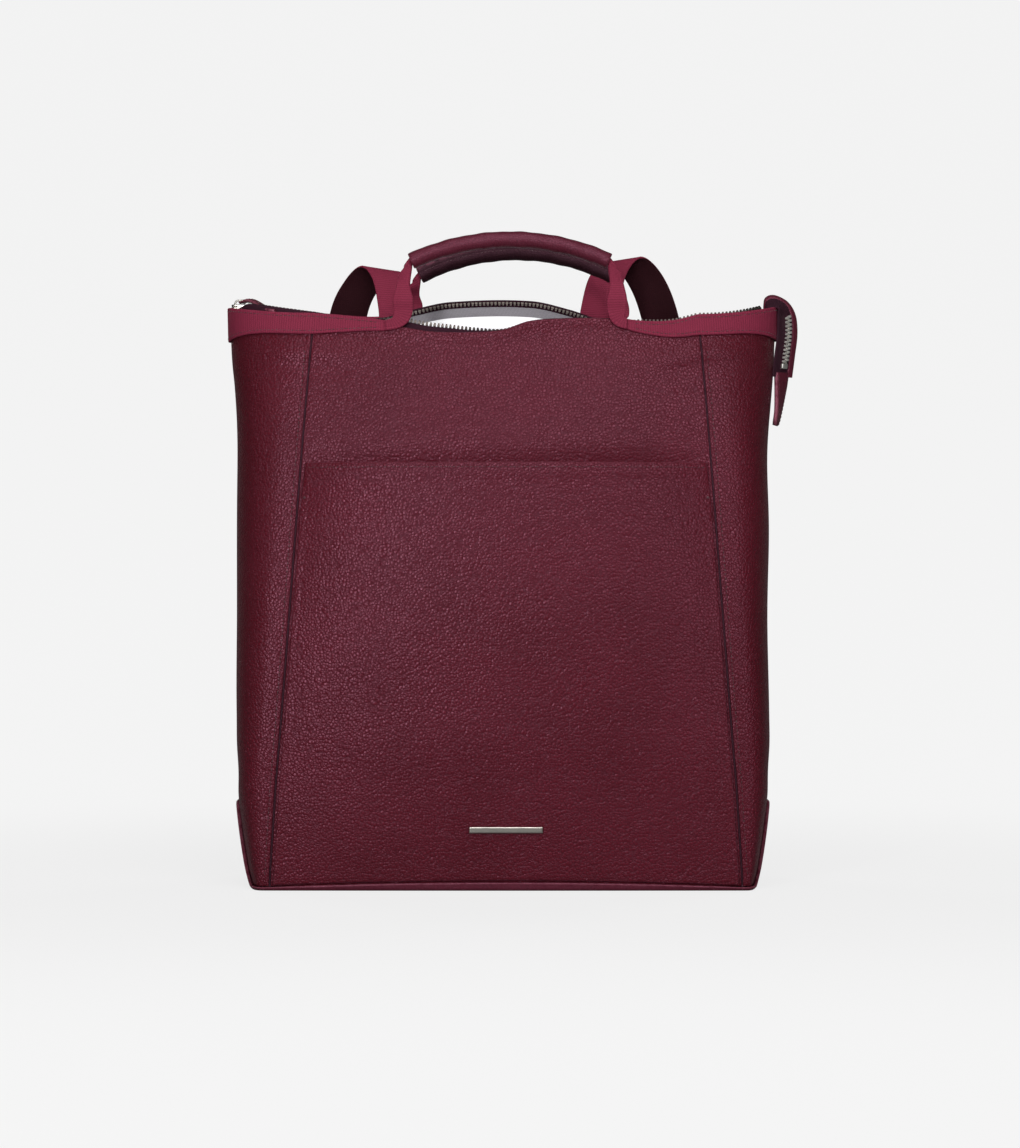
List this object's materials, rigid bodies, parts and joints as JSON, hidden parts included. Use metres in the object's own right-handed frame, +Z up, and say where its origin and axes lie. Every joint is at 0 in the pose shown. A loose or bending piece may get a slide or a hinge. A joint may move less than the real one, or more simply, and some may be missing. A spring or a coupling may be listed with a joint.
{
  "type": "convertible backpack",
  "caption": "Leather backpack with twin top handles, an open top zip, a front slip pocket and webbing shoulder straps.",
  "frame": {"origin": "middle of the base's underside, on the surface that the bag stands on", "axes": "+X to the right as seen from the front, +Y from the front to the back, +Z up"},
  "size_m": [0.3654, 0.1613, 0.4152],
  "materials": {
    "leather": "pebbled, satin",
    "leather_trim": "fine grain, satin",
    "webbing": "ribbed weave",
    "lining_cloth": "plain weave",
    "zip_tape": "herringbone tape",
    "metal": "polished pale nickel"
  },
  "bodies": {
    "root": {"base_panel": "leather_trim", "front_panel": "leather", "back_panel": "leather", "gusset_left": "leather", "gusset_right": "leather", "front_pocket": "leather", "lining": "lining_cloth", "grip_front": "leather_trim", "grip_rear": "leather_trim", "webbing_left": "webbing", "webbing_right": "webbing", "zip_tape_front": "zip_tape", "zip_tape_rear": "zip_tape", "zip_chain_front": "metal", "zip_chain_rear": "metal", "zip_tail": "zip_tape", "zip_tail_chain": "metal", "zip_tab": "leather_trim", "zip_slider": "metal", "zip_pull": "leather_trim", "strap_left": "webbing", "strap_anchor_left": "leather_trim", "strap_ring_left": "metal", "strap_tab_left": "leather_trim", "strap_lower_left": "webbing", "strap_right": "webbing", "strap_anchor_right": "leather_trim", "strap_ring_right": "metal", "strap_tab_right": "leather_trim", "strap_lower_right": "webbing", "pocket_bar": "metal"}
  },
  "joints": []
}
